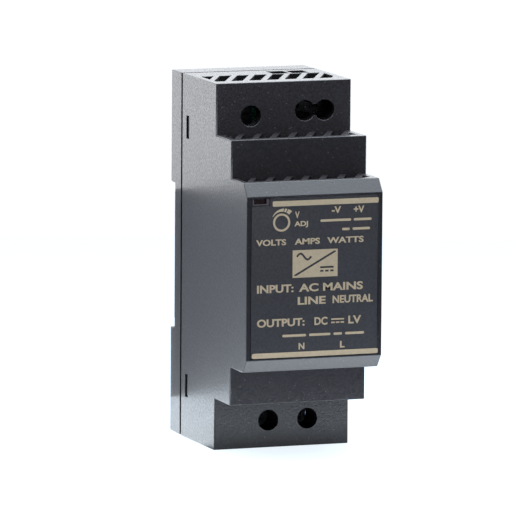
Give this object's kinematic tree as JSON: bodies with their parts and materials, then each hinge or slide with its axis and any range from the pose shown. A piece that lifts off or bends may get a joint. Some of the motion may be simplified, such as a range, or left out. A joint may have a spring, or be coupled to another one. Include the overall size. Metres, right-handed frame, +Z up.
{
  "type": "din rail power supply",
  "caption": "Narrow DIN rail power supply with stepped, vented case, sprung rail latch, cage clamp terminals, output trimmer, indicator window and populated board.",
  "frame": {"origin": "middle of the seat in the rear cover that the rail's front face lies against", "axes": "+X to the viewer's right along the rail, front face towards -Y, +Z up"},
  "size_m": [0.035, 0.0545, 0.09],
  "materials": {
    "housing": "fine sparked texture, satin",
    "cover": "fine sparked texture, satin",
    "label": "printed polyester film",
    "window": "clear, red tinted",
    "latch": "satin",
    "spring_steel": "drawn wire",
    "board": "solder resist on glass laminate",
    "film": "translucent film",
    "solder": "tinned",
    "chip": "moulded epoxy",
    "terminal": "moulded",
    "screw": "zinc plated",
    "clamp": "nickel plated",
    "contact": "tin plated",
    "trimmer": "moulded",
    "rotor": "moulded",
    "led": "clear, tinted",
    "fuse": "moulded",
    "disc": "dipped epoxy coat",
    "thermistor": "dipped coat",
    "film_capacitor": "moulded box",
    "snubber": "dipped coat",
    "ferrite": "sintered",
    "winding": "enamelled copper wire",
    "can": "sleeved",
    "small_can": "sleeved",
    "heatsink": "rolled sheet",
    "resistor": "coated",
    "optocoupler": "moulded",
    "bobbin": "moulded",
    "tape": "polyester tape",
    "fixing": "zinc plated",
    "pad": "filled silicone"
  },
  "bodies": {
    "case": {"front_housing": "housing", "rear_cover": "cover", "front_label": "label", "light_pipe": "window", "latch_spring": "spring_steel", "main_board": "board", "insulation_sheet": "film", "solder_joints": "solder", "board_chips": "chip", "output_terminal_body": "terminal", "input_terminal_body": "terminal", "positive_contact": "contact", "negative_contact": "contact", "line_contact": "contact", "neutral_contact": "contact", "feedback_board": "board", "feedback_chips": "chip", "feedback_header": "chip", "trimmer_body": "trimmer", "indicator_led": "led", "fuse": "fuse", "surge_varistor": "disc", "inrush_thermistor": "thermistor", "line_capacitor": "film_capacitor", "line_choke_core": "ferrite", "line_choke_windings": "winding", "bridge_rectifier": "chip", "bulk_capacitor_left": "can", "bulk_capacitor_right": "can", "switching_transistor": "chip", "primary_heatsink": "heatsink", "controller_chip": "chip", "supply_capacitor": "small_can", "snubber_resistor": "resistor", "snubber_capacitor": "snubber", "safety_capacitor": "disc", "optocoupler": "optocoupler", "transformer_core": "ferrite", "transformer_bobbin": "bobbin", "transformer_winding": "winding", "transformer_tape": "tape", "output_rectifier": "chip", "output_heatsink": "heatsink", "heatsink_screws": "fixing", "heatsink_nuts": "fixing", "thermal_pads": "pad", "output_choke_core": "ferrite", "output_choke_winding": "winding", "output_capacitor_left": "small_can", "output_capacitor_right": "small_can"},
    "latch": {"rail_latch": "latch"},
    "positive_screw": {"positive_screw": "screw"},
    "positive_clamp": {"positive_clamp": "clamp"},
    "negative_screw": {"negative_screw": "screw"},
    "negative_clamp": {"negative_clamp": "clamp"},
    "line_screw": {"line_screw": "screw"},
    "line_clamp": {"line_clamp": "clamp"},
    "neutral_screw": {"neutral_screw": "screw"},
    "neutral_clamp": {"neutral_clamp": "clamp"},
    "trimmer_rotor": {"trimmer_rotor": "rotor"}
  },
  "joints": [
    {"name": "latch_slide", "type": "slide", "parent": "case", "child": "latch", "axis": [0, 0, -1], "range_m": [0, 0.003], "stiffness_N_per_m": 600, "springref_m": -0.002, "deforming": ["latch_spring"]},
    {"name": "positive_screw_turn", "type": "hinge", "parent": "case", "child": "positive_screw", "pos_m": [0.0106, -0.0153, 0.0384], "axis": [0, 1, 0], "range_deg": [0, 2080]},
    {"name": "positive_clamp_rise", "type": "slide", "parent": "case", "child": "positive_clamp", "axis": [0, -1, 0], "range_m": [0, 0.0026]},
    {"name": "negative_screw_turn", "type": "hinge", "parent": "case", "child": "negative_screw", "pos_m": [0.00552, -0.0153, 0.0384], "axis": [0, 1, 0], "range_deg": [0, 2080]},
    {"name": "negative_clamp_rise", "type": "slide", "parent": "case", "child": "negative_clamp", "axis": [0, -1, 0], "range_m": [0, 0.0026]},
    {"name": "line_screw_turn", "type": "hinge", "parent": "case", "child": "line_screw", "pos_m": [0.00673, -0.0153, -0.0376], "axis": [0, 1, 0], "range_deg": [0, 2080]},
    {"name": "line_clamp_rise", "type": "slide", "parent": "case", "child": "line_clamp", "axis": [0, -1, 0], "range_m": [0, 0.0026]},
    {"name": "neutral_screw_turn", "type": "hinge", "parent": "case", "child": "neutral_screw", "pos_m": [-0.00343, -0.0153, -0.0376], "axis": [0, 1, 0], "range_deg": [0, 2080]},
    {"name": "neutral_clamp_rise", "type": "slide", "parent": "case", "child": "neutral_clamp", "axis": [0, -1, 0], "range_m": [0, 0.0026]},
    {"name": "trimmer_turn", "type": "hinge", "parent": "case", "child": "trimmer_rotor", "pos_m": [-0.0085, -0.0233, 0.0375], "axis": [0, 1, 0], "range_deg": [-135, 135]}
  ],
  "couplings": [
    {"joint": "positive_screw_turn", "follows": "positive_clamp_rise", "rad_per_m": 13963},
    {"joint": "negative_screw_turn", "follows": "negative_clamp_rise", "rad_per_m": 13963},
    {"joint": "line_screw_turn", "follows": "line_clamp_rise", "rad_per_m": 13963},
    {"joint": "neutral_screw_turn", "follows": "neutral_clamp_rise", "rad_per_m": 13963}
  ]
}
